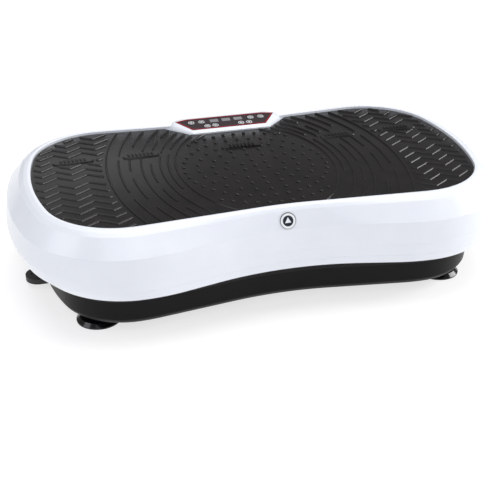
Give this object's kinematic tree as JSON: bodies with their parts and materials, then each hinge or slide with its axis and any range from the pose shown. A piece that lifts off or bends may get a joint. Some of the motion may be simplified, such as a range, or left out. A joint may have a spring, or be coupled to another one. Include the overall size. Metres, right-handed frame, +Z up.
{
  "type": "vibration plate",
  "caption": "Low rocking exercise plate: waisted white cover with a ribbed standing mat, tilted control panel, black base with suction feet, band eyelets and a belt and crank drive.",
  "frame": {"origin": "on the floor, under the middle of the plate's box", "axes": "+X along the length to the right, +Y to the back where the control panel is, +Z up"},
  "size_m": [0.742, 0.431, 0.1715],
  "materials": {
    "shell_white": "glossy white moulded ABS",
    "mat_rubber": "matt charcoal moulded rubber",
    "base_black": "satin black moulded plastic",
    "foot_rubber": "smooth black rubber",
    "eyelet_black": "black glass-filled nylon",
    "plywood": "birch plywood sheet",
    "steel_black": "black powder coat on steel tube",
    "steel_bright": "ground steel",
    "steel_zinc": "zinc plated steel",
    "cast_grey": "grey cast metal",
    "bronze": "sintered bronze",
    "pulley_aluminium": "turned aluminium",
    "motor_black": "black painted drawn steel",
    "armature_copper": "varnished copper winding",
    "belt_rubber": "black belt rubber",
    "panel_grey": "dark grey printed film",
    "bezel_red": "deep red lacquered edge",
    "window_grey": "pale smoked display lens",
    "button_grey": "dark grey key with a pale symbol",
    "badge_metal": "dark round badge",
    "board_green": "printed circuit board",
    "inlet_black": "black mains inlet plastic",
    "switch_red": "red rocker"
  },
  "bodies": {
    "base": {"band_eyelet_left": "eyelet_black", "band_eyelet_right": "eyelet_black", "base_crossbars": "steel_black", "base_rail_front": "steel_black", "base_rail_rear": "steel_black", "base_tray": "base_black", "bump_pads": "foot_rubber", "bump_posts": "steel_black", "control_board": "board_green", "crank_bearings": "steel_bright", "crank_blocks": "cast_grey", "drive_belt": "belt_rubber", "eyelet_screws": "steel_zinc", "foot_bolts": "steel_zinc", "frame_bolts": "steel_zinc", "fuse_cap": "inlet_black", "inlet_plate": "base_black", "motor_can": "motor_black", "motor_cradle": "cast_grey", "motor_end_bells": "cast_grey", "pivot_pedestals": "cast_grey", "pivot_pins": "steel_bright", "power_inlet": "inlet_black", "power_supply": "steel_zinc", "suction_foot_front_left": "foot_rubber", "suction_foot_front_right": "foot_rubber", "suction_foot_rear_left": "foot_rubber", "suction_foot_rear_right": "foot_rubber"},
    "platform": {"deck_shell": "shell_white", "deck_mat": "mat_rubber", "deck_plate": "plywood", "deck_screws": "steel_zinc", "deck_rail_front": "steel_black", "deck_rail_rear": "steel_black", "deck_crossbars": "steel_black", "pivot_ears": "steel_black", "pivot_bushes": "bronze", "rod_clevis": "steel_black", "rod_pin": "steel_bright", "badge": "badge_metal", "panel_bezel": "bezel_red", "panel_face": "panel_grey", "display_windows": "window_grey", "display_board": "board_green"},
    "motor_rotor": {"motor_shaft": "steel_bright", "motor_armature": "armature_copper", "motor_pulley": "pulley_aluminium"},
    "crank": {"crank_shaft": "steel_bright", "crank_eccentric": "steel_bright", "crank_pulley": "pulley_aluminium"},
    "connecting_rod": {"connecting_rod": "pulley_aluminium"},
    "power_switch": {"power_switch": "switch_red"},
    "button_power": {"button_power": "button_grey"},
    "button_mode": {"button_mode": "button_grey"},
    "button_time_down": {"button_time_down": "button_grey"},
    "button_time_up": {"button_time_up": "button_grey"},
    "button_speed_down": {"button_speed_down": "button_grey"},
    "button_speed_up": {"button_speed_up": "button_grey"},
    "button_program": {"button_program": "button_grey"},
    "button_start": {"button_start": "button_grey"}
  },
  "joints": [
    {"name": "platform_rock", "type": "hinge", "parent": "base", "child": "platform", "pos_m": [0, 0, 0.066], "axis": [0, 1, 0], "range_deg": [-1.6, 1.6]},
    {"name": "crank_spin", "type": "hinge", "parent": "base", "child": "crank", "pos_m": [0.107, 0, 0.066], "axis": [0, 1, 0], "continuous": true},
    {"name": "motor_spin", "type": "hinge", "parent": "base", "child": "motor_rotor", "pos_m": [-0.1, 0, 0.068], "axis": [0, 1, 0], "continuous": true},
    {"name": "rod_swing", "type": "hinge", "parent": "platform", "child": "connecting_rod", "pos_m": [0.107, 0, 0.116], "axis": [0, 1, 0], "range_deg": [-2, 2]},
    {"name": "power_switch_rock", "type": "hinge", "parent": "base", "child": "power_switch", "pos_m": [0.213, 0.18, 0.041], "axis": [1, 0, 0], "range_deg": [0, 14]},
    {"name": "button_power_press", "type": "slide", "parent": "platform", "child": "button_power", "axis": [0, 0.1162, -0.9932], "range_m": [0, 0.0006], "stiffness_N_per_m": 200, "springref_m": -0.001},
    {"name": "button_mode_press", "type": "slide", "parent": "platform", "child": "button_mode", "axis": [0, 0.1162, -0.9932], "range_m": [0, 0.0006], "stiffness_N_per_m": 200, "springref_m": -0.001},
    {"name": "button_time_down_press", "type": "slide", "parent": "platform", "child": "button_time_down", "axis": [0, 0.1162, -0.9932], "range_m": [0, 0.0006], "stiffness_N_per_m": 200, "springref_m": -0.001},
    {"name": "button_time_up_press", "type": "slide", "parent": "platform", "child": "button_time_up", "axis": [0, 0.1162, -0.9932], "range_m": [0, 0.0006], "stiffness_N_per_m": 200, "springref_m": -0.001},
    {"name": "button_speed_down_press", "type": "slide", "parent": "platform", "child": "button_speed_down", "axis": [0, 0.1162, -0.9932], "range_m": [0, 0.0006], "stiffness_N_per_m": 200, "springref_m": -0.001},
    {"name": "button_speed_up_press", "type": "slide", "parent": "platform", "child": "button_speed_up", "axis": [0, 0.1162, -0.9932], "range_m": [0, 0.0006], "stiffness_N_per_m": 200, "springref_m": -0.001},
    {"name": "button_program_press", "type": "slide", "parent": "platform", "child": "button_program", "axis": [0, 0.1162, -0.9932], "range_m": [0, 0.0006], "stiffness_N_per_m": 200, "springref_m": -0.001},
    {"name": "button_start_press", "type": "slide", "parent": "platform", "child": "button_start", "axis": [0, 0.1162, -0.9932], "range_m": [0, 0.0006], "stiffness_N_per_m": 200, "springref_m": -0.001}
  ],
  "couplings": [
    {"joint": "motor_spin", "follows": "crank_spin", "ratio": 2}
  ]
}
